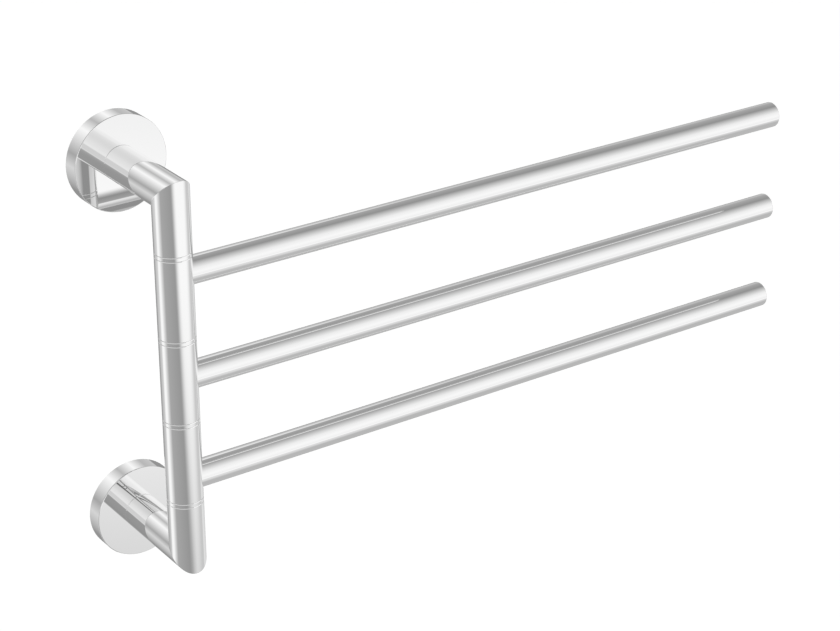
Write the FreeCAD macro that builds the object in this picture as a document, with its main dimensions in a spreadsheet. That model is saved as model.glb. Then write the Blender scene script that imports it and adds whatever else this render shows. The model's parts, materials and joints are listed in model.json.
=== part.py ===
import FreeCAD, Part

import math
import os

import Sketcher
from FreeCAD import Placement, Rotation, Vector

# A wall hung towel bar: two brackets carry a vertical column, and three bars swing about it.
# The origin lies on the wall, midway between the brackets. X runs along the bars, Y into the wall, Z up.

SIZES = [
    # name, millimetres, what it is
    ("bracket_spacing", 207.6, "height between the axes of the two posts"),
    ("standoff", 61.8, "wall to the axis of the column"),
    ("column_radius", 10.0, "outside of the posts, the column ends, the collars and the rings"),
    ("post_wall", 1.5, "wall of the posts and the column ends"),
    ("collar_wall", 2.0, "wall of the collars"),
    ("collar_pitch", 47.7, "height from one spacer ring to the next"),
    ("ring_width", 2.2, "height of a spacer ring"),
    ("ring_gap", 0.15, "running gap on each side of a spacer ring"),
    ("edge_break", 0.25, "bevel on the ends of the collars and the rings"),
    ("bar_radius", 7.6, "outside of a bar"),
    ("bar_wall", 1.2, "wall of a bar"),
    ("bar_reach", 412.4, "axis of the column to the tip of a bar"),
    ("bar_pitch", 59.5, "height from one bar to the next"),
    ("cap_depth", 2.0, "thickness of the end cap's head"),
    ("cap_round", 1.0, "rounding of the end cap"),
    ("cap_plug", 8.0, "length of the end cap inside the bar"),
    ("spigot_radius", 4.0, "part of the spigot that passes through the collar"),
    ("spigot_start", 8.3, "axis of the column to the spigot's inner end"),
    ("spigot_shoulder", 11.0, "axis of the column to the spigot's shoulder"),
    ("spigot_end", 27.0, "axis of the column to the spigot's end inside the bar"),
    ("rosette_radius", 26.9, "outside of a rosette"),
    ("rosette_depth", 10.35, "wall to the front face of a rosette"),
    ("rosette_wall", 1.9, "thickness of a rosette's rim"),
    ("rosette_front", 2.5, "thickness of a rosette's front"),
    ("rosette_round", 0.4, "rounding of a rosette's front edge"),
    ("plate_radius", 24.5, "outside of a wall plate"),
    ("plate_depth", 6.0, "thickness of a wall plate"),
    ("plate_bore", 10.0, "room for the post screw in a wall plate"),
    ("groove_depth", 1.5, "depth of the V groove round a wall plate"),
    ("wall_screw_offset", 17.0, "axis of a post to a wall screw"),
    ("wall_screw_hole", 2.75, "radius of a wall screw's hole"),
    ("wall_screw_sink", 5.0, "radius of a wall screw's countersink"),
    ("post_plug_depth", 16.0, "length of the threaded plug in a post"),
    ("post_screw_radius", 3.0, "thread of a post screw"),
    ("post_screw_head", 5.0, "radius of a post screw's head"),
    ("post_head_depth", 4.0, "height of a post screw's head"),
    ("post_screw_length", 13.0, "length of a post screw under its head"),
    ("post_socket", 5.0, "width across the flats of a post screw's socket"),
    ("post_socket_depth", 2.4, "depth of a post screw's socket"),
    ("washer_radius", 7.0, "outside of a post washer"),
    ("washer_depth", 1.0, "thickness of a post washer"),
    ("clearance_hole", 3.2, "radius of the hole round a post screw"),
    ("grub_radius", 2.0, "thread of the grub screws"),
    ("grub_point", 0.4, "radius of the tip of a rosette's grub screw"),
    ("lock_point", 1.5, "radius of the tip of a lock screw"),
    ("grub_bevel", 0.25, "bevel on the socket end of a grub screw"),
    ("grub_socket", 2.0, "width across the flats of a grub screw's socket"),
    ("grub_socket_depth", 1.6, "depth of a grub screw's socket"),
    ("grub_sink", 0.3, "how far a grub screw lies below the surface"),
    ("spindle_radius", 4.0, "outside of the spindle"),
    ("spindle_grip", 12.0, "length of the spindle inside a column end"),
    ("column_plug_depth", 16.0, "length of a column plug"),
    ("lock_height", 8.0, "ring end of a column end to its lock screw"),
    ("spring_depth", 1.0, "free height of the disc spring"),
    ("spring_leaf", 0.5, "thickness of the disc spring"),
    ("spring_inside", 4.3, "inner radius of the disc spring"),
    ("spring_outside", 7.8, "outer radius of the disc spring"),
    ("bush_length", 5.0, "length of a bush"),
    ("bush_play", 0.05, "running clearance between a bush and the spindle"),
    ("bush_lip", 0.1, "how far a bush stands out of its collar"),
    ("bevel", 0.5, "bevel on turned inner pieces"),
    ("overrun", 1.0, "how far a mitre cut runs past the tube"),
]

# Sizes that follow from others, as expressions for the drawings below.
COLUMN_FACE = "(1.5 * Size.collar_pitch + Size.ring_width / 2 + Size.ring_gap)"
COLLAR_LENGTH = "(Size.collar_pitch - Size.ring_width - 2 * Size.ring_gap)"
POST_BORE = "(Size.column_radius - Size.post_wall)"
COLLAR_BORE = "(Size.column_radius - Size.collar_wall)"
BAR_BORE = "(Size.bar_radius - Size.bar_wall)"
GROOVE_RADIUS = "(Size.plate_radius - Size.groove_depth)"
SPRING_SEAT = "(Size.spring_depth - Size.ring_gap)"
MITRE_REACH = "(Size.column_radius + Size.overrun)"

# How a piece's own Z axis is turned when it is put in place.
UPRIGHT = Rotation()
OVER = Rotation(Vector(0, 1, 0), 180)
DOWN = Rotation(Vector(1, 0, 0), 180)
OUT_OF_WALL = Rotation(Vector(1, 0, 0), 90)
OUT_OF_WALL_OVER = OVER * OUT_OF_WALL
ALONG_BAR = Rotation(Vector(0, 1, 0), 90)

doc = FreeCAD.newDocument("TowelBar")
pieces = []


def fill_sheet():
    """Write the driving dimensions into the spreadsheet, one to a row."""
    sheet = doc.addObject("Spreadsheet::Sheet", "Size")
    for row, (name, value, meaning) in enumerate(SIZES, start=1):
        sheet.set(f"A{row}", name)
        sheet.set(f"B{row}", str(value))
        sheet.set(f"C{row}", meaning)
        sheet.setAlias(f"B{row}", name)
    doc.recompute()


def read(name):
    """A driving dimension's number, for finding an edge by where it lies."""
    return next(value for alias, value, _ in SIZES if alias == name)


def new_body(label, turn=UPRIGHT, x="0", y="0", z="0"):
    """Start a piece and put it in place."""
    body = doc.addObject("PartDesign::Body", label)
    body.Label = label
    body.Placement = Placement(Vector(), turn)
    for axis, distance in zip("xyz", (x, y, z)):
        body.setExpression(f"Placement.Base.{axis}", distance)
    pieces.append(body)
    return body


def new_sketch(body, name, plane, lift="0"):
    """Start a sketch on one of the body's own origin planes, or parallel to it."""
    sketch = body.newObject("Sketcher::SketchObject", name)
    support = next(f for f in body.Origin.OriginFeatures if f.Role == plane)
    sketch.AttachmentSupport = [(support, "")]
    sketch.MapMode = "FlatFace"
    sketch.setExpression("AttachmentOffset.Base.z", lift)
    return sketch


def bind(sketch, kind, elements, expression):
    """Add a dimension to a sketch and bind it to an expression of the spreadsheet."""
    index = sketch.addConstraint(Sketcher.Constraint(kind, *elements, 1.0))
    sketch.setExpression(f"Constraints[{index}]", expression)


def fix_point(sketch, element, point, x, y):
    """Hold a point of a sketch at a distance from the sketch's origin."""
    for kind, distance, axis in (("DistanceX", x, -2), ("DistanceY", y, -1)):
        if distance == "0":
            sketch.addConstraint(Sketcher.Constraint("PointOnObject", element, point, axis))
        else:
            bind(sketch, kind, (-1, 1, element, point), distance)


def add_circle(sketch, radius, x="0", y="0"):
    circle = sketch.addGeometry(Part.Circle(Vector(1, 1, 0), Vector(0, 0, 1), 1.0))
    bind(sketch, "Radius", (circle,), radius)
    fix_point(sketch, circle, 3, x, y)


def add_polygon(sketch, corners):
    """Draw a closed outline through corners, each a pair of expressions."""
    count = len(corners)
    turns = [2 * math.pi * k / count for k in range(count + 1)]
    start = [Vector(20 + math.cos(turn), 20 + math.sin(turn), 0) for turn in turns]
    for k in range(count):
        sketch.addGeometry(Part.LineSegment(start[k], start[k + 1]))
    for k in range(count):
        sketch.addConstraint(Sketcher.Constraint("Coincident", k, 2, (k + 1) % count, 1))
    for k, (x, y) in enumerate(corners):
        fix_point(sketch, k, 1, x, y)


def add_hexagon(sketch, across_flats):
    """Draw a hexagon round the sketch's origin."""
    turns = [math.pi * k / 3 for k in range(7)]
    start = [Vector(math.cos(turn), math.sin(turn), 0) for turn in turns]
    for k in range(6):
        sketch.addGeometry(Part.LineSegment(start[k], start[k + 1]))
    guide = sketch.addGeometry(Part.Circle(Vector(), Vector(0, 0, 1), 1.0), True)
    sketch.addConstraint(Sketcher.Constraint("Coincident", guide, 3, -1, 1))
    for k in range(6):
        sketch.addConstraint(Sketcher.Constraint("Coincident", k, 2, (k + 1) % 6, 1))
        sketch.addConstraint(Sketcher.Constraint("PointOnObject", k, 1, guide))
    for k in range(1, 6):
        sketch.addConstraint(Sketcher.Constraint("Equal", 0, k))
    sketch.addConstraint(Sketcher.Constraint("PointOnObject", 0, 1, -1))
    bind(sketch, "Radius", (guide,), f"{across_flats} / sqrt(3)")


def turn_on_lathe(body, corners):
    """Spin a half section, given as (radius, height) corners, about the body's Z axis."""
    sketch = new_sketch(body, f"{body.Label}_section", "XZ_Plane")
    add_polygon(sketch, corners)
    spin = body.newObject("PartDesign::Revolution", f"{body.Label}_spin")
    spin.Profile = sketch
    spin.ReferenceAxis = (sketch, ["V_Axis"])
    spin.Angle = 360
    doc.recompute()
    return spin


def pad_tube(body, outside, inside, length):
    """Pad a ring into a tube along the body's Z axis."""
    sketch = new_sketch(body, f"{body.Label}_ring", "XY_Plane")
    add_circle(sketch, outside)
    add_circle(sketch, inside)
    pad = body.newObject("PartDesign::Pad", f"{body.Label}_pad")
    pad.Profile = sketch
    pad.setExpression("Length", length)
    doc.recompute()
    return pad


def cut(body, sketch, length=None, backwards=False):
    """Pocket a sketch: to a length on one side, or right through both ways. It has to remove something."""
    before = body.Shape.Volume
    pocket = body.newObject("PartDesign::Pocket", f"{sketch.Name}_cut")
    pocket.Profile = sketch
    if length is None:
        pocket.Type = "ThroughAll"
        pocket.Midplane = True
    else:
        pocket.setExpression("Length", length)
        pocket.Reversed = backwards
    doc.recompute()
    if body.Shape.Volume > before - 1e-3:
        raise RuntimeError(f"{sketch.Name} cuts nothing out of {body.Label}")
    return pocket


def round_edges(body, feature, kind, size, radius, height):
    """Bevel or round the circular edges of one radius that lie at one height in the body."""
    names = []
    for index, edge in enumerate(feature.Shape.Edges, start=1):
        circle = edge.Curve
        if not isinstance(circle, Part.Circle):
            continue
        if abs(circle.Radius - radius) < 0.01 and abs(circle.Center.z - height) < 0.01:
            names.append(f"Edge{index}")
    if not names:
        raise RuntimeError(f"{body.Label} has no edge of radius {radius} at height {height}")
    finish = body.newObject(f"PartDesign::{kind}", f"{body.Label}_{kind.lower()}_{len(body.Group)}")
    finish.Base = (feature, names)
    finish.setExpression("Radius" if kind == "Fillet" else "Size", size)
    doc.recompute()
    return finish


def drill_side(body, radius, height, plane, length, backwards, name="side_hole"):
    """Cut a round hole from the body's axis out through one side."""
    sketch = new_sketch(body, f"{body.Label}_{name}", plane)
    add_circle(sketch, radius, "0", height)
    return cut(body, sketch, length, backwards)


def cut_mitre(body, corner, side):
    """Cut the far end of a tube at 45 degrees, through its axis at the corner's height.

    The tube is left short on the side of the body's Y axis that side names, 1 or -1.
    """
    sketch = new_sketch(body, f"{body.Label}_mitre", "YZ_Plane")
    top = f"{corner} + {MITRE_REACH}"
    add_polygon(sketch, [
        (f"{side} * {MITRE_REACH}", f"{corner} - {MITRE_REACH}"),
        (f"{side} * {MITRE_REACH}", top),
        (f"{-side} * {MITRE_REACH}", top),
    ])
    return cut(body, sketch)


def cut_socket(body, across_flats, depth, lift="0", backwards=False):
    """Cut a hexagonal socket into the end of a screw."""
    sketch = new_sketch(body, f"{body.Label}_socket", "XY_Plane", lift)
    add_hexagon(sketch, across_flats)
    return cut(body, sketch, depth, backwards)


def make_wall_plate(label, post_height):
    body = new_body(label, OUT_OF_WALL, z=post_height)
    middle = "Size.plate_depth / 2"
    turn_on_lathe(body, [
        ("Size.plate_bore", "0"),
        ("Size.plate_radius", "0"),
        ("Size.plate_radius", f"{middle} - Size.groove_depth"),
        (GROOVE_RADIUS, middle),
        ("Size.plate_radius", f"{middle} + Size.groove_depth"),
        ("Size.plate_radius", "Size.plate_depth"),
        ("Size.plate_bore", "Size.plate_depth"),
    ])
    centres = new_sketch(body, f"{label}_screw_centres", "XY_Plane", "Size.plate_depth")
    for side in (-1, 1):
        add_circle(centres, "Size.wall_screw_hole", f"{side} * Size.wall_screw_offset")
    doc.recompute()
    hole = body.newObject("PartDesign::Hole", f"{label}_screw_holes")
    hole.Profile = centres
    doc.recompute()
    hole.ThreadType = "None"
    hole.DepthType = "ThroughAll"
    hole.HoleCutType = "Countersink"
    hole.HoleCutCustomValues = True
    hole.HoleCutCountersinkAngle = 90
    hole.setExpression("Diameter", "2 * Size.wall_screw_hole")
    hole.setExpression("HoleCutDiameter", "2 * Size.wall_screw_sink")
    doc.recompute()


def make_rosette(label, post_height):
    body = new_body(label, OUT_OF_WALL, z=post_height)
    rim = "(Size.rosette_radius - Size.rosette_wall)"
    cup = "(Size.rosette_depth - Size.rosette_front)"
    spin = turn_on_lathe(body, [
        ("Size.clearance_hole", cup),
        (rim, cup),
        (rim, "0"),
        ("Size.rosette_radius", "0"),
        ("Size.rosette_radius", "Size.rosette_depth"),
        ("Size.clearance_hole", "Size.rosette_depth"),
    ])
    front_edge = (read("rosette_radius"), read("rosette_depth"))
    round_edges(body, spin, "Fillet", "Size.rosette_round", *front_edge)
    drill_side(body, "Size.grub_radius", "Size.plate_depth / 2", "XZ_Plane", "Size.rosette_radius", True)


def shape_grub_screw(body, length, point):
    """A headless screw from its tip, at the body's origin, to its socket end; point is the tip's radius."""
    turn_on_lathe(body, [
        ("0", "0"),
        (point, "0"),
        ("Size.grub_radius", f"Size.grub_radius - {point}"),
        ("Size.grub_radius", f"{length} - Size.grub_bevel"),
        ("Size.grub_radius - Size.grub_bevel", length),
        ("0", length),
    ])
    cut_socket(body, "Size.grub_socket", "Size.grub_socket_depth", lift=length)


def make_rosette_grub_screw(label, post_height):
    tip = f"({GROOVE_RADIUS} + Size.grub_point)"
    body = new_body(label, DOWN, y="-Size.plate_depth / 2", z=f"{post_height} - {tip}")
    shape_grub_screw(body, f"(Size.rosette_radius - Size.grub_sink - {tip})", "Size.grub_point")


def make_post(label, turn, post_height):
    body = new_body(label, turn, y="-Size.rosette_depth", z=post_height)
    corner = "(Size.standoff - Size.rosette_depth)"
    pad_tube(body, "Size.column_radius", POST_BORE, f"{corner} + Size.column_radius")
    cut_mitre(body, corner, -1)


def make_post_plug(label, post_height):
    body = new_body(label, OUT_OF_WALL, y="-Size.rosette_depth", z=post_height)
    depth = "Size.post_plug_depth"
    turn_on_lathe(body, [
        ("Size.post_screw_radius", "0"),
        (POST_BORE, "0"),
        (POST_BORE, f"{depth} - Size.bevel"),
        (f"{POST_BORE} - Size.bevel", depth),
        ("Size.post_screw_radius", depth),
    ])


def make_post_screw(label, post_height):
    seat = "(Size.rosette_depth - Size.rosette_front - Size.washer_depth)"
    body = new_body(label, OUT_OF_WALL, y=f"-({seat} - Size.post_head_depth)", z=post_height)
    tip = "(Size.post_head_depth + Size.post_screw_length)"
    turn_on_lathe(body, [
        ("0", "0"),
        ("Size.post_screw_head - Size.bevel", "0"),
        ("Size.post_screw_head", "Size.bevel"),
        ("Size.post_screw_head", "Size.post_head_depth"),
        ("Size.post_screw_radius", "Size.post_head_depth"),
        ("Size.post_screw_radius", f"{tip} - Size.bevel"),
        ("Size.post_screw_radius - Size.bevel", tip),
        ("0", tip),
    ])
    cut_socket(body, "Size.post_socket", "Size.post_socket_depth", backwards=True)


def make_post_washer(label, post_height):
    seat = "(Size.rosette_depth - Size.rosette_front)"
    body = new_body(label, OUT_OF_WALL, y=f"-({seat} - Size.washer_depth)", z=post_height)
    pad_tube(body, "Size.washer_radius", "Size.clearance_hole", "Size.washer_depth")


def make_column_end(label, turn, side):
    """A mitred tube from the outermost ring to the corner; side is 1 above and -1 below."""
    body = new_body(label, turn, y="-Size.standoff", z=f"{side} * {COLUMN_FACE}")
    corner = f"(Size.bracket_spacing / 2 - {COLUMN_FACE})"
    pad = pad_tube(body, "Size.column_radius", POST_BORE, f"{corner} + Size.column_radius")
    round_edges(body, pad, "Chamfer", "Size.edge_break", read("column_radius"), 0)
    cut_mitre(body, corner, 1)
    drill_side(body, "Size.grub_radius", "Size.lock_height", "YZ_Plane", "Size.column_radius", side > 0)


def make_column_plug(label, turn, side, recess):
    """A threaded plug for the spindle; recess is how far it lies inside the column end."""
    body = new_body(label, turn, y="-Size.standoff", z=f"{side} * ({COLUMN_FACE} + {recess})")
    depth = "Size.column_plug_depth"
    floor = "(Size.spindle_grip + Size.bevel)"
    turn_on_lathe(body, [
        ("Size.spindle_radius", "0"),
        (f"{POST_BORE} - Size.bevel", "0"),
        (POST_BORE, "Size.bevel"),
        (POST_BORE, depth),
        ("0", depth),
        ("0", floor),
        ("Size.spindle_radius", floor),
    ])
    height = f"Size.lock_height - ({recess})"
    drill_side(body, "Size.grub_radius", height, "YZ_Plane", "Size.column_radius", side > 0)


def make_lock_screw(label, side):
    height = f"{side} * ({COLUMN_FACE} + Size.lock_height)"
    body = new_body(label, ALONG_BAR, x="Size.spindle_radius", y="-Size.standoff", z=height)
    length = "(Size.column_radius - Size.grub_sink - Size.spindle_radius)"
    shape_grub_screw(body, length, "Size.lock_point")


def make_spindle():
    half = f"({COLUMN_FACE} + Size.spindle_grip)"
    body = new_body("spindle", y="-Size.standoff", z=f"-{half}")
    turn_on_lathe(body, [
        ("0", "0"),
        ("Size.spindle_radius - Size.bevel", "0"),
        ("Size.spindle_radius", "Size.bevel"),
        ("Size.spindle_radius", f"2 * {half} - Size.bevel"),
        ("Size.spindle_radius - Size.bevel", f"2 * {half}"),
        ("0", f"2 * {half}"),
    ])


def make_spacer_ring(label, steps):
    """A flush washer; steps is its height above the middle in collar pitches."""
    body = new_body(label, y="-Size.standoff", z=f"{steps} * Size.collar_pitch - Size.ring_width / 2")
    turn_on_lathe(body, [
        ("Size.spindle_radius", "0"),
        ("Size.column_radius - Size.edge_break", "0"),
        ("Size.column_radius", "Size.edge_break"),
        ("Size.column_radius", "Size.ring_width - Size.edge_break"),
        ("Size.column_radius - Size.edge_break", "Size.ring_width"),
        ("Size.spindle_radius", "Size.ring_width"),
    ])


def make_disc_spring():
    """A dished washer between the top spacer ring and the upper column plug."""
    body = new_body("disc_spring", y="-Size.standoff", z=f"{COLUMN_FACE} - Size.ring_gap")
    turn_on_lathe(body, [
        ("Size.spring_inside", "0"),
        ("Size.spring_outside", "Size.spring_depth - Size.spring_leaf"),
        ("Size.spring_outside", "Size.spring_depth"),
        ("Size.spring_inside", "Size.spring_leaf"),
    ])


def make_collar(label, collar_height, bar_height):
    foot = f"({collar_height} - {COLLAR_LENGTH} / 2)"
    body = new_body(label, y="-Size.standoff", z=foot)
    pad = pad_tube(body, "Size.column_radius", COLLAR_BORE, COLLAR_LENGTH)
    for height in (0, read("collar_pitch") - read("ring_width") - 2 * read("ring_gap")):
        pad = round_edges(body, pad, "Chamfer", "Size.edge_break", read("column_radius"), height)
    spigot_height = f"{bar_height} - {foot}"
    drill_side(body, "Size.spigot_radius", spigot_height, "YZ_Plane", "Size.column_radius", True)


def make_bush(label, turn, face):
    """A bush pressed into the end of a collar; face is the height of the collar's end."""
    body = new_body(label, turn, y="-Size.standoff", z=face)
    bore = "(Size.spindle_radius + Size.bush_play)"
    turn_on_lathe(body, [
        (bore, "0"),
        (f"{COLLAR_BORE} - Size.bevel", "0"),
        (COLLAR_BORE, "Size.bevel"),
        (COLLAR_BORE, "Size.bush_length + Size.bush_lip"),
        (bore, "Size.bush_length + Size.bush_lip"),
    ])


def make_spigot(label, bar_height):
    body = new_body(label, ALONG_BAR, x="Size.spigot_start", y="-Size.standoff", z=bar_height)
    shoulder = "(Size.spigot_shoulder - Size.spigot_start)"
    end = "(Size.spigot_end - Size.spigot_start)"
    turn_on_lathe(body, [
        ("0", "0"),
        ("Size.spigot_radius", "0"),
        ("Size.spigot_radius", shoulder),
        (BAR_BORE, shoulder),
        (BAR_BORE, f"{end} - Size.bevel"),
        (f"{BAR_BORE} - Size.bevel", end),
        ("0", end),
    ])


def make_bar(label, bar_height):
    """The tube of an arm, its root cut to sit on the round of the collar."""
    body = new_body(label, ALONG_BAR, y="-Size.standoff", z=bar_height)
    pad_tube(body, "Size.bar_radius", BAR_BORE, "Size.bar_reach - Size.cap_depth")
    saddle = new_sketch(body, f"{label}_saddle", "YZ_Plane")
    add_circle(saddle, "Size.column_radius")
    cut(body, saddle)


def make_end_cap(label, bar_height):
    body = new_body(label, ALONG_BAR, x="Size.bar_reach - Size.cap_depth - Size.cap_plug",
                    y="-Size.standoff", z=bar_height)
    total = "(Size.cap_plug + Size.cap_depth)"
    spin = turn_on_lathe(body, [
        ("0", "0"),
        (f"{BAR_BORE} - Size.bevel", "0"),
        (BAR_BORE, "Size.bevel"),
        (BAR_BORE, "Size.cap_plug"),
        ("Size.bar_radius", "Size.cap_plug"),
        ("Size.bar_radius", total),
        ("0", total),
    ])
    tip_edge = (read("bar_radius"), read("cap_plug") + read("cap_depth"))
    round_edges(body, spin, "Fillet", "Size.cap_round", *tip_edge)


def make_bracket(level, side):
    """One wall bracket with its end of the column; side is 1 above and -1 below."""
    post_height = f"{side} * Size.bracket_spacing / 2"
    upper = side > 0
    make_wall_plate(f"{level}_wall_plate", post_height)
    make_rosette(f"{level}_rosette", post_height)
    make_rosette_grub_screw(f"{level}_rosette_grub_screw", post_height)
    make_post(f"{level}_post", OUT_OF_WALL if upper else OUT_OF_WALL_OVER, post_height)
    make_post_plug(f"{level}_post_plug", post_height)
    make_post_screw(f"{level}_post_screw", post_height)
    make_post_washer(f"{level}_post_washer", post_height)
    make_column_end(f"{level}_column_end", UPRIGHT if upper else OVER, side)
    make_column_plug(f"{level}_column_plug", UPRIGHT if upper else OVER, side,
                     SPRING_SEAT if upper else "-Size.ring_gap")
    make_lock_screw(f"{level}_lock_screw", side)


def make_arm(level, step):
    """One swinging arm; step is 1 for the top arm, 0 for the middle one and -1 for the bottom one."""
    collar_height = f"{step} * Size.collar_pitch"
    bar_height = f"{step} * Size.bar_pitch"
    lip = f"({COLLAR_LENGTH} / 2 + Size.bush_lip)"
    make_collar(f"{level}_arm_collar", collar_height, bar_height)
    make_bush(f"{level}_arm_upper_bush", DOWN, f"{collar_height} + {lip}")
    make_bush(f"{level}_arm_lower_bush", UPRIGHT, f"{collar_height} - {lip}")
    make_spigot(f"{level}_arm_spigot", bar_height)
    make_bar(f"{level}_arm_bar", bar_height)
    make_end_cap(f"{level}_arm_end_cap", bar_height)


def check_and_export():
    """Stop if anything failed, then write each piece to its own file."""
    doc.recompute()
    for item in doc.Objects:
        if "Invalid" in item.State or "Error" in item.State:
            raise RuntimeError(f"{item.Label} failed: {item.State}")
    os.makedirs("parts", exist_ok=True)
    for piece in pieces:
        shape = piece.Shape
        if shape.isNull() or not shape.isValid() or len(shape.Solids) != 1:
            raise RuntimeError(f"{piece.Label} isn't one sound solid")
        shape.exportStep(f"parts/{piece.Label}.step")
        print(f"{piece.Label:28} {shape.Volume:10.1f} mm3")
    print(len(pieces), "pieces")


fill_sheet()
for bracket_level, bracket_side in (("upper", 1), ("lower", -1)):
    make_bracket(bracket_level, bracket_side)
make_spindle()
for ring_number, ring_steps in enumerate((1.5, 0.5, -0.5, -1.5), start=1):
    make_spacer_ring(f"spacer_ring_{ring_number}", ring_steps)
make_disc_spring()
for arm_level, arm_step in (("top", 1), ("middle", 0), ("bottom", -1)):
    make_arm(arm_level, arm_step)
check_and_export()
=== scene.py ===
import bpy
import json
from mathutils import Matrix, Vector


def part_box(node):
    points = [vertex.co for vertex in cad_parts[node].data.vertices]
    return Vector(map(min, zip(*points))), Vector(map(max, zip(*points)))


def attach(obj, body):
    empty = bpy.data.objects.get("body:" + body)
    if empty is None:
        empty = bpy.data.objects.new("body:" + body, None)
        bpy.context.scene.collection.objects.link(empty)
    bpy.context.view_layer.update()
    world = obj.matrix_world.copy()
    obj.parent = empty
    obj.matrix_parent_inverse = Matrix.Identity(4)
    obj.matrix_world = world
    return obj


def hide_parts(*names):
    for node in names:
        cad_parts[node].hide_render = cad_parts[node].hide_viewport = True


bl_info = {
    "name": "Swing Arm Towel Rack",
    "version": (1, 0, 0),
    "blender": (4, 5, 0),
    "location": "3D View > Sidebar > Towel Rack",
    "description": "Dresses a wall hung towel rack with three swinging bars in polished chrome",
    "category": "Object",
}

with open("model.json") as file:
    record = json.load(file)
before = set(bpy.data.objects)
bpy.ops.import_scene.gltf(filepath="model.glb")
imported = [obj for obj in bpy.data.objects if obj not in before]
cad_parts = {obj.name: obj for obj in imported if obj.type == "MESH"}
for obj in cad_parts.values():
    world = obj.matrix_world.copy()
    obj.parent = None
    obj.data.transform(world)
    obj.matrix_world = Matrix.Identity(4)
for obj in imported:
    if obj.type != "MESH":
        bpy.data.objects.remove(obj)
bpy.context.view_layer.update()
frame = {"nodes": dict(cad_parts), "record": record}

import json
import math

import bmesh
import bpy
from bpy.props import FloatProperty, FloatVectorProperty, IntProperty, PointerProperty
from mathutils import Matrix, Vector

# The frame stands in metres: X along the bars, Y into the wall, Z up, with the wall at Y = 0.
ALONG_BARS = Vector((1, 0, 0))
INTO_WALL = Vector((0, 1, 0))
UP = Vector((0, 0, 1))

LEVELS = {"upper": 1, "lower": -1}
ARMS = ("top", "middle", "bottom")
RINGS = range(1, 5)
BODY_OF_NODE = {
    node: body for body, nodes in frame["record"]["behaviour"]["bodies"].items() for node in nodes
}

HOLD = 0.00002  # how close to a rounding the points lie that keep the runs beside it flat
CREASE = math.radians(14)  # edges sharper than this stay crisp
SQUARE_ON = 0.9999  # faces whose normal lies this close to the axis are a piece's flat ends
DRILL_FACETS = 48
BORE_SHARE = 0.12  # hole for the post screw in a rosette, as a share of its radius
NOISE_RANGE = (0.3, 0.7)  # between these lies nearly all that a noise gives

# What the polish mirrors: a softbox in front, a pale horizon, and grey panels at steps of 30 degrees round
# the bars, the column and the posts, as (degrees, level). A pair of limits says where a part of the surround
# starts and where it is fully there, along one axis of the direction or, for the softbox's reach, in degrees
# from its middle.
SOFTBOX_AXIS = Vector((0.4, -0.8, 0.4))
SOFTBOX_REACH = (70, 50)
SOFTBOX_FOOT = (-0.6, -0.4)
SOFTBOX_LEVEL = 1.0
ROUND_BARS = ((0, 0.5), (90, 0.3), (150, 0.9), (180, 1.0), (210, 0.9), (240, 0.5))
ROUND_COLUMN = (
    (0, 0.8), (60, 0.6), (90, 0.1), (120, 0.9), (150, 1.0), (180, 0.4), (270, 0.3), (300, 0.6),
)
ROUND_POSTS = (
    (0, 0.6), (30, 0.5), (60, 1.0), (90, 0.5), (120, 1.0), (150, 0.7), (180, 0.4), (210, 0.7), (270, 0.3),
)
HORIZON_LEVEL = 0.7
HORIZON_START, HORIZON_END = (-0.12, -0.04), (0.25, 0.17)
LEFT_OF_BARS = (0.42, 0.3)
LEFT_CONTRAST = 1.8
BELOW_HORIZON = (-0.05, -0.15)
COLUMN_BAND_TOP, COLUMN_BAND_FOOT = (-0.33, -0.38), (-0.56, -0.52)
BESIDE_WALL = (0.6, 0.7)

FLOOR_RADIUS = 12
FLOOR_FACETS = 96
FLOOR_ROUGHNESS = 0.9
LAMP_PLACE = Vector((-0.9, -1.3, 2))
CAMERA_CLIP = (0.05, 60)


def middle(node):
    """The middle of a node's box."""
    low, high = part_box(node)
    return (low + high) / 2


def half_size(node, axis):
    """Half of a node's box along one axis, such as a turned piece's radius."""
    low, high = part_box(node)
    return (high - low).dot(axis) / 2


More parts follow.
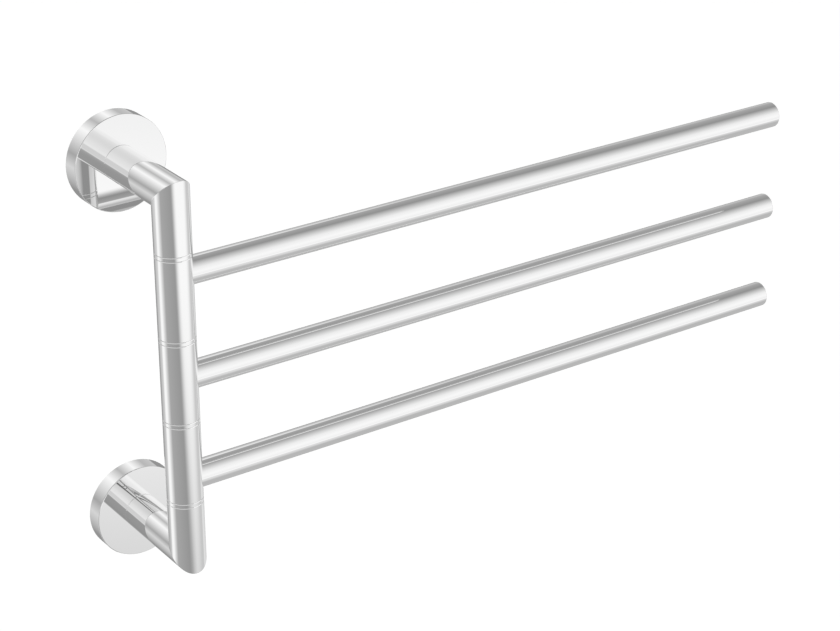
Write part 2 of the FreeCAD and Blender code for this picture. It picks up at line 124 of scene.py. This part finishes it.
class TowelRackShape(bpy.types.PropertyGroup):
    """Sizes of the chromed pieces that the CAD frame doesn't show"""

    facets: IntProperty(
        name="Facets", description="Faces round a turned piece", default=144, min=24, max=512
    )
    curve_steps: IntProperty(
        name="Curve steps", description="Faces across a rounded edge", default=6, min=1, max=16
    )
    tube_wall: FloatProperty(
        name="Tube wall", description="Wall of the posts and the column ends",
        default=0.0015, min=0.0005, max=0.004, precision=4, unit="LENGTH",
    )
    collar_wall: FloatProperty(
        name="Collar wall", description="Wall of the collars",
        default=0.002, min=0.0005, max=0.004, precision=4, unit="LENGTH",
    )
    bar_wall: FloatProperty(
        name="Bar wall", description="Wall of the bars",
        default=0.0012, min=0.0005, max=0.003, precision=4, unit="LENGTH",
    )
    rosette_wall: FloatProperty(
        name="Rosette rim", description="Thickness of a rosette's rim",
        default=0.0019, min=0.0005, max=0.004, precision=4, unit="LENGTH",
    )
    rosette_front: FloatProperty(
        name="Rosette front", description="Thickness of a rosette's front",
        default=0.0025, min=0.0005, max=0.005, precision=4, unit="LENGTH",
    )
    rosette_round: FloatProperty(
        name="Rosette rounding", description="Rounding of a rosette's front edge",
        default=0.0004, min=0.0001, max=0.002, precision=5, unit="LENGTH",
    )
    seam_width: FloatProperty(
        name="Seam width", description="Height of the bevel on the upper edges of the collars and rings",
        default=0.0004, min=0.0001, max=0.001, precision=5, unit="LENGTH",
    )
    seam_depth: FloatProperty(
        name="Seam depth", description="Depth of the bevel on the upper edges of the collars and rings",
        default=0.00012, min=0.00005, max=0.0005, precision=5, unit="LENGTH",
    )
    foot_bevel: FloatProperty(
        name="Post foot bevel", description="Bevel where a post stands on its rosette",
        default=0.0003, min=0.00005, max=0.001, precision=5, unit="LENGTH",
    )
    mitre_bevel: FloatProperty(
        name="Mitre bevel", description="Fine bevel round a mitred end",
        default=0.0001, min=0.00002, max=0.0005, precision=5, unit="LENGTH",
    )
    tip_round: FloatProperty(
        name="Tip rounding", description="Rounding of a bar's end cap",
        default=0.0006, min=0.0002, max=0.003, precision=4, unit="LENGTH",
    )
    screw_hole: FloatProperty(
        name="Screw hole", description="Radius of the holes for the grub screws",
        default=0.002, min=0.001, max=0.003, precision=4, unit="LENGTH",
    )


class TowelRackFinish(bpy.types.PropertyGroup):
    """Colours and finishes"""

    chrome: FloatVectorProperty(
        name="Chrome", description="Colour of the polished chrome",
        default=(0.95, 0.95, 0.95), min=0, max=1, size=3, subtype="COLOR",
    )
    chrome_haze: FloatProperty(
        name="Chrome haze", description="Roughness where the polish is thinnest",
        default=0.02, min=0, max=1, subtype="FACTOR",
    )
    steel: FloatVectorProperty(
        name="Steel", description="Colour of the turned steel inside",
        default=(0.56, 0.565, 0.57), min=0, max=1, size=3, subtype="COLOR",
    )
    cast: FloatVectorProperty(
        name="Wall plate", description="Colour of the cast wall plates",
        default=(0.62, 0.62, 0.61), min=0, max=1, size=3, subtype="COLOR",
    )
    plastic: FloatVectorProperty(
        name="Bushes", description="Colour of the plastic bushes",
        default=(0.80, 0.79, 0.75), min=0, max=1, size=3, subtype="COLOR",
    )


class TowelRackStudio(bpy.types.PropertyGroup):
    """The floor, the light and the camera"""

    floor_depth: FloatProperty(
        name="Floor depth", description="Floor below the middle of the rack",
        default=1.6, min=0.2, max=3, unit="LENGTH",
    )
    floor: FloatVectorProperty(
        name="Floor", description="Colour of the floor",
        default=(0.9, 0.9, 0.9), min=0, max=1, size=3, subtype="COLOR",
    )
    daylight: FloatProperty(
        name="Daylight", description="Level of the soft light from all round", default=0.85, min=0, max=2
    )
    lamp_power: FloatProperty(
        name="Lamp power", description="Power of the soft lamp above", default=9, min=0, max=100, unit="POWER"
    )
    lamp_size: FloatProperty(
        name="Lamp size", description="Side of the soft lamp", default=1.5, min=0.1, max=5, unit="LENGTH"
    )
    floor_glow: FloatProperty(
        name="Floor glow", description="Light of the floor's own, which keeps it white",
        default=0.25, min=0, max=1,
    )
    focal_length: FloatProperty(
        name="Focal length", description="Camera lens", default=99.68, min=20, max=300, unit="CAMERA"
    )
    camera_azimuth: FloatProperty(
        name="Camera azimuth", description="Turn of the camera from straight in front, to the right",
        default=math.radians(-34.998), subtype="ANGLE",
    )
    camera_elevation: FloatProperty(
        name="Camera elevation", description="Height of the camera's view above level",
        default=math.radians(25.125), subtype="ANGLE",
    )
    camera_place: FloatVectorProperty(
        name="Camera place", description="Where the camera stands",
        default=(-0.520208, -1.024148, 0.545816), size=3, precision=6, subtype="TRANSLATION",
    )


GROUPS = {
    "towel_rack_shape": TowelRackShape,
    "towel_rack_finish": TowelRackFinish,
    "towel_rack_studio": TowelRackStudio,
}


# --- shapes ---------------------------------------------------------------------------------


def round_corner(shape, corner, size, steps):
    """Round one corner of a drawn section, with a point close by on either side that keeps the run flat."""
    for edge in corner.link_edges[:]:
        bmesh.utils.edge_split(edge, corner, (size + HOLD) / edge.calc_length())
    bmesh.ops.bevel(
        shape, geom=[corner], offset=size, offset_type="OFFSET", segments=steps,
        profile=0.5, affect="VERTICES", material=-1,
    )


def turn(section, start, axis, side, facets, steps=1, closed=True):
    """Turn a half section about an axis from start: each corner is (radius, distance, rounding)."""
    shape = bmesh.new()
    corners = [shape.verts.new(start + axis * far + side * radius) for radius, far, _ in section]
    for one, other in zip(corners, corners[1:] + corners[:1] * closed):
        shape.edges.new((one, other))
    for corner, (_, _, rounding) in zip(corners, section):
        if rounding:
            round_corner(shape, corner, rounding, steps)
    bmesh.ops.spin(
        shape, geom=shape.verts[:] + shape.edges[:], cent=start, axis=axis, dvec=(0, 0, 0),
        angle=math.tau, steps=facets, use_merge=True, use_duplicate=False, use_normal_flip=False,
    )
    bmesh.ops.remove_doubles(shape, verts=shape.verts, dist=1e-7)
    bmesh.ops.recalc_face_normals(shape, faces=shape.faces)
    return shape


def tube(radius, wall, length, start, axis, side, facets, start_seam=(0, 0), end_seam=(0, 0)):
    """A straight tube from start along axis; a seam is how far its edge is taken back (along, inwards)."""
    run, depth = start_seam
    far_run, far_depth = end_seam
    section = [(radius - wall, 0, 0), (radius - depth, 0, 0)]
    if run:
        section.append((radius, run, 0))
    if far_run:
        section.append((radius, length - far_run, 0))
    section += [(radius - far_depth, length, 0), (radius - wall, length, 0)]
    return turn(section, start, axis, side, facets)


def seam(sizes):
    """How far an upper edge on the column is taken back: along the column, and inwards."""
    return sizes.seam_width, sizes.seam_depth


def mitre(shape, corner, outwards, axis, radius, bevel):
    """Cut a tube at an angle through corner, close its wall and bevel the outer edge."""
    sliced = bmesh.ops.bisect_plane(
        shape, geom=shape.verts[:] + shape.edges[:] + shape.faces[:], dist=1e-8,
        plane_co=corner, plane_no=outwards, clear_outer=True,
    )
    rim = [item for item in sliced["geom_cut"] if isinstance(item, bmesh.types.BMEdge)]
    bmesh.ops.bridge_loops(shape, edges=rim)
    outer = []
    for edge in rim:
        spoke = (edge.verts[0].co - corner).cross(axis).length
        if abs(spoke - radius) < bevel:
            outer.append(edge)
    bmesh.ops.recalc_face_normals(shape, faces=shape.faces)
    bmesh.ops.bevel(
        shape, geom=outer, offset=bevel, offset_type="OFFSET", segments=1, profile=0.5,
        affect="EDGES", material=-1, clamp_overlap=True,
    )


def cut_out(shape, cutter):
    """The mesh of shape with cutter taken out of it. Both shapes are used up."""
    pair = []
    for part in (shape, cutter):
        mesh = bpy.data.meshes.new("cutting")
        part.to_mesh(mesh)
        part.free()
        pair.append(bpy.data.objects.new("cutting", mesh))
        bpy.context.scene.collection.objects.link(pair[-1])
    blank, tool = pair
    cut = blank.modifiers.new("cut", "BOOLEAN")
    cut.operation = "DIFFERENCE"
    cut.solver = "EXACT"
    cut.object = tool
    result = bpy.data.meshes.new_from_object(blank.evaluated_get(bpy.context.evaluated_depsgraph_get()))
    for part in pair:
        mesh = part.data
        bpy.data.objects.remove(part)
        bpy.data.meshes.remove(mesh)
    fresh = bmesh.new()
    fresh.from_mesh(result)
    bpy.data.meshes.remove(result)
    return fresh


def drill(shape, radius, start, direction, depth):
    """A round hole from start, depth long in direction."""
    drill_bit = bmesh.new()
    turned = direction.to_track_quat("Z", "Y").to_matrix().to_4x4()
    bmesh.ops.create_cone(
        drill_bit, cap_ends=True, segments=DRILL_FACETS, radius1=radius, radius2=radius, depth=depth,
        matrix=Matrix.Translation(start + direction * depth / 2) @ turned,
    )
    return cut_out(shape, drill_bit)


def place(name, shape, finish, node, axis):
    """Make a piece of a shape, smooth round its curves and flat on its ends, in place of a node."""
    for face in shape.faces:
        face.smooth = abs(face.normal.dot(axis)) < SQUARE_ON
    for edge in shape.edges:
        edge.smooth = len(edge.link_faces) == 2 and edge.calc_face_angle() < CREASE
    mesh = bpy.data.meshes.new(name)
    shape.to_mesh(mesh)
    shape.free()
    mesh.materials.append(finish)
    piece = bpy.data.objects.new(name, mesh)
    bpy.context.scene.collection.objects.link(piece)
    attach(piece, BODY_OF_NODE[node])
    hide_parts(node)
    return piece


# --- finishes -------------------------------------------------------------------------------


def link(tree, source, target):
    """Join one node's output to another's input."""
    tree.links.new(source, target)


def new_finish(name):
    """A node material with its shader, or the one already made."""
    finish = bpy.data.materials.get(name)
    if finish:
        return finish, None, None
    finish = bpy.data.materials.new(name)
    finish.use_nodes = True
    tree = finish.node_tree
    return finish, tree, tree.nodes["Principled BSDF"]


def noise(tree, scale, detail, stretch=(1, 1, 1)):
    """Noise in the piece's own frame, scale to the metre."""
    where = tree.nodes.new("ShaderNodeTexCoord")
    placed = tree.nodes.new("ShaderNodeMapping")
    placed.inputs["Scale"].default_value = stretch
    grain = tree.nodes.new("ShaderNodeTexNoise")
    grain.inputs["Scale"].default_value = scale
    grain.inputs["Detail"].default_value = detail
    link(tree, where.outputs["Object"], placed.inputs["Vector"])
    link(tree, placed.outputs["Vector"], grain.inputs["Vector"])
    return grain.outputs["Fac"]


def spread(tree, source, low, high, target):
    """Map a noise onto a range of values."""
    fit = tree.nodes.new("ShaderNodeMapRange")
    fit.inputs["From Min"].default_value, fit.inputs["From Max"].default_value = NOISE_RANGE
    fit.inputs["To Min"].default_value = low
    fit.inputs["To Max"].default_value = high
    link(tree, source, fit.inputs["Value"])
    link(tree, fit.outputs["Result"], target)


def two_tones(tree, source, one, other, target):
    """Blend two colours by a noise."""
    blend = tree.nodes.new("ShaderNodeMix")
    blend.data_type = "RGBA"
    blend.inputs["A"].default_value = (*one, 1)
    blend.inputs["B"].default_value = (*other, 1)
    link(tree, source, blend.inputs["Factor"])
    link(tree, blend.outputs["Result"], target)


def ripple(tree, source, height, strength, shader):
    """Raise the surface a little by a noise."""
    bump = tree.nodes.new("ShaderNodeBump")
    bump.inputs["Strength"].default_value = strength
    bump.inputs["Distance"].default_value = height
    link(tree, source, bump.inputs["Height"])
    link(tree, bump.outputs["Normal"], shader.inputs["Normal"])


def chrome_finish(colours):
    """Bright plated chrome: a clear mirror with a trace of haze in the polish."""
    finish, tree, shader = new_finish("polished_chrome")
    if tree:
        tone = Vector(colours.chrome)
        shader.inputs["Metallic"].default_value = 1
        haze = colours.chrome_haze
        cloud = noise(tree, scale=60, detail=4)
        two_tones(tree, noise(tree, scale=18, detail=2), tone, tone * 0.985, shader.inputs["Base Color"])
        spread(tree, cloud, low=haze * 0.6, high=haze, target=shader.inputs["Roughness"])
    return finish


def steel_finish(colours):
    """Bright steel with the fine marks of turning."""
    finish, tree, shader = new_finish("machined_steel")
    if tree:
        tone = Vector(colours.steel)
        shader.inputs["Metallic"].default_value = 1
        marks = noise(tree, scale=900, detail=3, stretch=(1, 1, 4))
        two_tones(tree, noise(tree, scale=120, detail=3), tone, tone * 0.85, shader.inputs["Base Color"])
        spread(tree, marks, low=0.22, high=0.38, target=shader.inputs["Roughness"])
        ripple(tree, marks, height=0.00005, strength=0.25, shader=shader)
    return finish


def cast_finish(colours):
    """Dull cast metal with a fine grain."""
    finish, tree, shader = new_finish("grained_casting")
    if tree:
        tone = Vector(colours.cast)
        shader.inputs["Metallic"].default_value = 1
        grain = noise(tree, scale=1400, detail=4)
        two_tones(tree, noise(tree, scale=200, detail=4), tone, tone * 0.8, shader.inputs["Base Color"])
        spread(tree, grain, low=0.45, high=0.62, target=shader.inputs["Roughness"])
        ripple(tree, grain, height=0.0001, strength=0.4, shader=shader)
    return finish


def plastic_finish(colours):
    """Moulded plastic with a faint mottle."""
    finish, tree, shader = new_finish("moulded_plastic")
    if tree:
        tone = Vector(colours.plastic)
        grain = noise(tree, scale=2000, detail=3)
        two_tones(tree, noise(tree, scale=300, detail=3), tone, tone * 0.93, shader.inputs["Base Color"])
        spread(tree, grain, low=0.38, high=0.5, target=shader.inputs["Roughness"])
        ripple(tree, grain, height=0.00004, strength=0.3, shader=shader)
    return finish


FINISHES = {
    "chrome_plate": chrome_finish,
    "turned_steel": steel_finish,
    "cast_plate": cast_finish,
    "bush_plastic": plastic_finish,
}


# --- operators ------------------------------------------------------------------------------


def chrome_job(context):
    """The sizes and the finish of the chromed pieces."""
    return context.scene.towel_rack_shape, chrome_finish(context.scene.towel_rack_finish)


class TOWELRACK_OT_rosettes(bpy.types.Operator):
    """Make the round rosettes that cover the wall plates"""

    bl_idname = "towelrack.rosettes"
    bl_label = "Rosettes"
    bl_options = {"REGISTER", "UNDO"}

    def execute(self, context):
        sizes, chrome = chrome_job(context)
        for level in LEVELS:
            node = f"{level}_rosette"
            radius = half_size(node, UP)
            depth = -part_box(node)[0].y
            bore = radius * BORE_SHARE
            cup = depth - sizes.rosette_front
            rim = radius - sizes.rosette_wall
            centre = Vector((0, 0, middle(node).z))
            shape = turn(
                [
                    (bore, cup, 0),
                    (rim, cup, 0),
                    (rim, 0, 0),
                    (radius, 0, sizes.mitre_bevel),
                    (radius, depth, sizes.rosette_round),
                    (bore, depth, 0),
                ],
                centre, -INTO_WALL, UP, sizes.facets, sizes.curve_steps,
            )
            screw = f"{level}_rosette_grub_screw"
            hole = middle(screw)
            hole.z = centre.z - rim + sizes.rosette_wall
            shape = drill(shape, sizes.screw_hole, hole, -UP, 3 * sizes.rosette_wall)
            place(f"{level}_rosette_cover", shape, chrome, node, INTO_WALL)
        return {"FINISHED"}


class TOWELRACK_OT_posts(bpy.types.Operator):
    """Make the mitred posts that stand out of the rosettes"""

    bl_idname = "towelrack.posts"
    bl_label = "Posts"
    bl_options = {"REGISTER", "UNDO"}

    def execute(self, context):
        sizes, chrome = chrome_job(context)
        for level, side in LEVELS.items():
            node = f"{level}_post"
            low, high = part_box(node)
            radius = half_size(node, UP)
            start = Vector((0, high.y, middle(node).z))
            corner = Vector((0, low.y + radius, start.z))
            length = high.y - low.y + radius
            shape = tube(
                radius, sizes.tube_wall, length, start, -INTO_WALL, UP, sizes.facets,
                start_seam=(sizes.foot_bevel, sizes.foot_bevel),
            )
            outwards = (-INTO_WALL - UP * side).normalized()
            mitre(shape, corner, outwards, INTO_WALL, radius, sizes.mitre_bevel)
            place(f"{level}_post_tube", shape, chrome, node, INTO_WALL)
        return {"FINISHED"}


class TOWELRACK_OT_column_ends(bpy.types.Operator):
    """Make the fixed ends of the column, mitred to the posts"""

    bl_idname = "towelrack.column_ends"
    bl_label = "Column ends"
    bl_options = {"REGISTER", "UNDO"}

    def execute(self, context):
        sizes, chrome = chrome_job(context)
        for level, side in LEVELS.items():
            node = f"{level}_column_end"
            low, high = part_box(node)
            radius = half_size(node, ALONG_BARS)
            axis = UP * side
            near, far = (low.z, high.z) if side > 0 else (high.z, low.z)
            start = Vector((0, middle(node).y, near))
            corner = Vector((0, start.y, far - side * radius))
            length = abs(far - near) + radius
            shape = tube(
                radius, sizes.tube_wall, length, start, axis, ALONG_BARS, sizes.facets,
                start_seam=(0, 0) if side > 0 else seam(sizes),
            )
            mitre(shape, corner, (axis + INTO_WALL).normalized(), UP, radius, sizes.mitre_bevel)
            hole = middle(f"{level}_lock_screw")
            hole.x = radius - 2 * sizes.tube_wall
            shape = drill(shape, sizes.screw_hole, hole, ALONG_BARS, 3 * sizes.tube_wall)
            place(f"{level}_column_end_tube", shape, chrome, node, UP)
        return {"FINISHED"}


class TOWELRACK_OT_collars(bpy.types.Operator):
    """Make the collars that turn on the column"""

    bl_idname = "towelrack.collars"
    bl_label = "Collars"
    bl_options = {"REGISTER", "UNDO"}

    def execute(self, context):
        sizes, chrome = chrome_job(context)
        for arm in ARMS:
            node = f"{arm}_arm_collar"
            low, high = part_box(node)
            start = middle(node)
            start.z = low.z
            shape = tube(
                half_size(node, ALONG_BARS), sizes.collar_wall, high.z - low.z, start, UP, ALONG_BARS,
                sizes.facets, end_seam=seam(sizes),
            )
            place(f"{arm}_arm_sleeve", shape, chrome, node, UP)
        return {"FINISHED"}


class TOWELRACK_OT_spacer_rings(bpy.types.Operator):
    """Make the spacer rings between the collars"""

    bl_idname = "towelrack.spacer_rings"
    bl_label = "Spacer rings"
    bl_options = {"REGISTER", "UNDO"}

    def execute(self, context):
        sizes, chrome = chrome_job(context)
        for number in RINGS:
            node = f"spacer_ring_{number}"
            low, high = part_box(node)
            start = middle(node)
            start.z = low.z
            radius = half_size(node, ALONG_BARS)
            wall = radius - half_size("spindle", ALONG_BARS)
            shape = tube(
                radius, wall, high.z - low.z, start, UP, ALONG_BARS,
                sizes.facets, end_seam=seam(sizes),
            )
            place(f"seam_ring_{number}", shape, chrome, node, UP)
        return {"FINISHED"}


class TOWELRACK_OT_bars(bpy.types.Operator):
    """Make the long bars, each with its root shaped to sit on its collar"""

    bl_idname = "towelrack.bars"
    bl_label = "Bars"
    bl_options = {"REGISTER", "UNDO"}

    def execute(self, context):
        sizes, chrome = chrome_job(context)
        collar = half_size("top_arm_collar", ALONG_BARS)
        for arm in ARMS:
            node = f"{arm}_arm_bar"
            start = middle(node)
            start.x = 0
            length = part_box(node)[1].x
            radius = half_size(node, UP)
            shape = tube(radius, sizes.bar_wall, length, start, ALONG_BARS, UP, sizes.facets)
            for vert in shape.verts:
                if vert.co.x < collar / 2:
                    vert.co.x = math.sqrt(collar**2 - (vert.co.y - start.y) ** 2)
            shape.normal_update()
            place(f"{arm}_arm_tube", shape, chrome, node, ALONG_BARS)
        return {"FINISHED"}


class TOWELRACK_OT_end_caps(bpy.types.Operator):
    """Make the rounded caps in the tips of the bars"""

    bl_idname = "towelrack.end_caps"
    bl_label = "End caps"
    bl_options = {"REGISTER", "UNDO"}

    def execute(self, context):
        sizes, chrome = chrome_job(context)
        for arm in ARMS:
            node = f"{arm}_arm_end_cap"
            low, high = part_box(node)
            start = middle(node)
            start.x = low.x
            length = high.x - low.x
            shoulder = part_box(f"{arm}_arm_bar")[1].x - low.x
            radius = half_size(node, UP)
            plug = radius - sizes.bar_wall
            shape = turn(
                [
                    (0, 0, 0),
                    (plug, 0, 0),
                    (plug, shoulder, 0),
                    (radius, shoulder, 0),
                    (radius, length, sizes.tip_round),
                    (0, length, 0),
                ],
                start, ALONG_BARS, UP, sizes.facets, sizes.curve_steps, closed=False,
            )
            place(f"{arm}_arm_tip", shape, chrome, node, ALONG_BARS)
        return {"FINISHED"}


class TOWELRACK_OT_fixings(bpy.types.Operator):
    """Finish the plates, screws, plugs, bushes and springs that the chrome covers"""

    bl_idname = "towelrack.fixings"
    bl_label = "Fixings"
    bl_options = {"REGISTER", "UNDO"}

    def execute(self, context):
        colours = context.scene.towel_rack_finish
        for piece in frame["nodes"].values():
            for slot in piece.material_slots:
                name = slot.material.name.split(".")[0]
                if name in FINISHES:
                    slot.material = FINISHES[name](colours)
        return {"FINISHED"}


class TOWELRACK_OT_studio(bpy.types.Operator):
    """Set up the floor, the soft light and the camera"""

    bl_idname = "towelrack.studio"
    bl_label = "Studio"
    bl_options = {"REGISTER", "UNDO"}

    def execute(self, context):
        studio = context.scene.towel_rack_studio
        lay_floor(studio)
        hang_lamp(studio)
        light_world(studio)
        set_camera(studio)
        context.scene.view_settings.view_transform = "Standard"
        return {"FINISHED"}


def lay_floor(studio):
    """A plain pale floor that takes the rack's shadow."""
    shape = bmesh.new()
    bmesh.ops.create_circle(
        shape, cap_ends=True, segments=FLOOR_FACETS, radius=FLOOR_RADIUS,
        matrix=Matrix.Translation((0, 0, -studio.floor_depth)),
    )
    mesh = bpy.data.meshes.new("floor")
    shape.to_mesh(mesh)
    shape.free()
    floor = bpy.data.objects.new("floor", mesh)
    bpy.context.scene.collection.objects.link(floor)
    floor.visible_glossy = False
    finish = bpy.data.materials.new("floor")
    finish.use_nodes = True
    tree = finish.node_tree
    shader = tree.nodes["Principled BSDF"]
    shader.inputs["Base Color"].default_value = (*studio.floor, 1)
    shader.inputs["Roughness"].default_value = FLOOR_ROUGHNESS
    shader.inputs["Emission Color"].default_value = (1, 1, 1, 1)
    shader.inputs["Emission Strength"].default_value = studio.floor_glow
    mesh.materials.append(finish)


def hang_lamp(studio):
    """A large soft lamp above the left front."""
    light = bpy.data.lights.new("soft_lamp", "AREA")
    light.shape = "SQUARE"
    light.size = studio.lamp_size
    light.energy = studio.lamp_power
    lamp = bpy.data.objects.new("soft_lamp", light)
    bpy.context.scene.collection.objects.link(lamp)
    lamp.visible_glossy = False
    lamp.location = LAMP_PLACE
    lamp.rotation_mode = "QUATERNION"
    lamp.rotation_quaternion = (-LAMP_PLACE).to_track_quat("-Z", "Y")


def work_out(tree, operation, *values):
    """A maths node: each value is a number or another node's output."""
    node = tree.nodes.new("ShaderNodeMath")
    node.operation = operation
    for socket, value in zip(node.inputs, values):
        if isinstance(value, (int, float)):
            socket.default_value = value
        else:
            link(tree, value, socket)
    return node.outputs["Value"]


def step_up(tree, value, low, high):
    """Rise smoothly from 0 to 1 as value goes from low to high."""
    node = tree.nodes.new("ShaderNodeMapRange")
    node.interpolation_type = "SMOOTHSTEP"
    node.inputs["From Min"].default_value = low
    node.inputs["From Max"].default_value = high
    link(tree, value, node.inputs["Value"])
    return node.outputs["Result"]


def between(tree, one, other, share):
    """Blend two levels."""
    node = tree.nodes.new("ShaderNodeMix")
    for name, value in (("A", one), ("B", other), ("Factor", share)):
        if isinstance(value, (int, float)):
            node.inputs[name].default_value = value
        else:
            link(tree, value, node.inputs[name])
    return node.outputs["Result"]


def sweep(tree, up, across, tones):
    """Grey levels by the angle of a direction, from across towards up: tones are (degrees, level)."""
    angle = work_out(tree, "DIVIDE", work_out(tree, "ARCTAN2", up, across), math.tau)
    angle = work_out(tree, "FRACT", angle)
    ramp = tree.nodes.new("ShaderNodeValToRGB")
    stops = ramp.color_ramp.elements
    stops.remove(stops[1])
    for degrees, level in tones:
        stop = stops[0] if degrees == 0 else stops.new(degrees / 360)
        stop.color = (level, level, level, 1)
    link(tree, angle, ramp.inputs["Fac"])
    return ramp.outputs["Color"]


def cone(tree, direction, axis, reach):
    """Rise from 0 to 1 round an axis, from the first angle of reach in to the second."""
    node = tree.nodes.new("ShaderNodeVectorMath")
    node.operation = "DOT_PRODUCT"
    node.inputs[1].default_value = axis.normalized()
    link(tree, direction, node.inputs[0])
    return step_up(tree, node.outputs["Value"], *(math.cos(math.radians(angle)) for angle in reach))


def overlap(tree, *shares):
    """Where all of the given shares hold at once."""
    product = shares[0]
    for share in shares[1:]:
        product = work_out(tree, "MULTIPLY", product, share)
    return product


def surround(tree):
    """The grey level that polish mirrors in each direction."""
    where = tree.nodes.new("ShaderNodeTexCoord")
    split = tree.nodes.new("ShaderNodeSeparateXYZ")
    direction = where.outputs["Generated"]
    link(tree, direction, split.inputs["Vector"])
    x, y, z = split.outputs
    left_of_bars = step_up(tree, x, *LEFT_OF_BARS)

    level = sweep(tree, z, y, ROUND_BARS)
    level = between(tree, level, work_out(tree, "POWER", level, LEFT_CONTRAST), left_of_bars)

    softbox = cone(tree, direction, SOFTBOX_AXIS, SOFTBOX_REACH)
    softbox = overlap(tree, softbox, step_up(tree, z, *SOFTBOX_FOOT))
    column = between(tree, sweep(tree, y, x, ROUND_COLUMN), SOFTBOX_LEVEL, softbox)
    band = overlap(tree, step_up(tree, z, *COLUMN_BAND_TOP), step_up(tree, z, *COLUMN_BAND_FOOT))
    below = overlap(tree, step_up(tree, z, *BELOW_HORIZON), left_of_bars)
    level = between(tree, level, column, work_out(tree, "MAXIMUM", band, below))

    horizon = overlap(tree, step_up(tree, z, *HORIZON_START), step_up(tree, z, *HORIZON_END), left_of_bars)
    level = between(tree, level, HORIZON_LEVEL, horizon)
    return between(tree, level, sweep(tree, z, x, ROUND_POSTS), step_up(tree, y, *BESIDE_WALL))


def light_world(studio):
    """Even daylight, the surround for mirrored rays, and white for the camera."""
    world = bpy.data.worlds.new("studio")
    bpy.context.scene.world = world
    world.use_nodes = True
    tree = world.node_tree
    ray = tree.nodes.new("ShaderNodeLightPath")
    mirrored = work_out(tree, "MAXIMUM", ray.outputs["Is Glossy Ray"], ray.outputs["Is Transmission Ray"])
    level = between(tree, studio.daylight, surround(tree), mirrored)
    level = between(tree, level, 1.0, ray.outputs["Is Camera Ray"])
    link(tree, level, tree.nodes["Background"].inputs["Color"])


def set_camera(studio):
    """The camera, at its place and angle, without shift or depth of field."""
    lens = bpy.data.cameras.new("camera")
    lens.lens = studio.focal_length
    lens.clip_start, lens.clip_end = CAMERA_CLIP
    camera = bpy.data.objects.new("camera", lens)
    bpy.context.scene.collection.objects.link(camera)
    azimuth, elevation = studio.camera_azimuth, studio.camera_elevation
    flat = math.cos(elevation)
    back = Vector((math.sin(azimuth) * flat, -math.cos(azimuth) * flat, math.sin(elevation)))
    camera.location = studio.camera_place
    camera.rotation_mode = "QUATERNION"
    camera.rotation_quaternion = (-back).to_track_quat("-Z", "Y")
    bpy.context.scene.camera = camera


OPERATORS = (
    TOWELRACK_OT_rosettes,
    TOWELRACK_OT_posts,
    TOWELRACK_OT_column_ends,
    TOWELRACK_OT_collars,
    TOWELRACK_OT_spacer_rings,
    TOWELRACK_OT_bars,
    TOWELRACK_OT_end_caps,
    TOWELRACK_OT_fixings,
    TOWELRACK_OT_studio,
)


class TOWELRACK_PT_sidebar(bpy.types.Panel):
    """Lists the pieces of the towel rack and their settings"""

    bl_idname = "TOWELRACK_PT_sidebar"
    bl_label = "Towel Rack"
    bl_space_type = "VIEW_3D"
    bl_region_type = "UI"
    bl_category = "Towel Rack"

    def draw(self, context):
        for group_name, group in GROUPS.items():
            box = self.layout.box()
            box.label(text=group.__doc__)
            for setting in group.__annotations__:
                box.prop(getattr(context.scene, group_name), setting)
        for operator in OPERATORS:
            self.layout.operator(operator.bl_idname)


CLASSES = (*GROUPS.values(), *OPERATORS, TOWELRACK_PT_sidebar)


def register():
    """Add the properties, the operators and the panel."""
    for cls in CLASSES:
        bpy.utils.register_class(cls)
    for name, group in GROUPS.items():
        setattr(bpy.types.Scene, name, PointerProperty(type=group))


def unregister():
    """Take them out again."""
    for name in GROUPS:
        delattr(bpy.types.Scene, name)
    for cls in reversed(CLASSES):
        bpy.utils.unregister_class(cls)


def main():
    """Make every piece and the stage."""
    register()
    for operator in OPERATORS:
        group, action = operator.bl_idname.split(".")
        getattr(getattr(bpy.ops, group), action)()


if __name__ == "__main__":
    main()
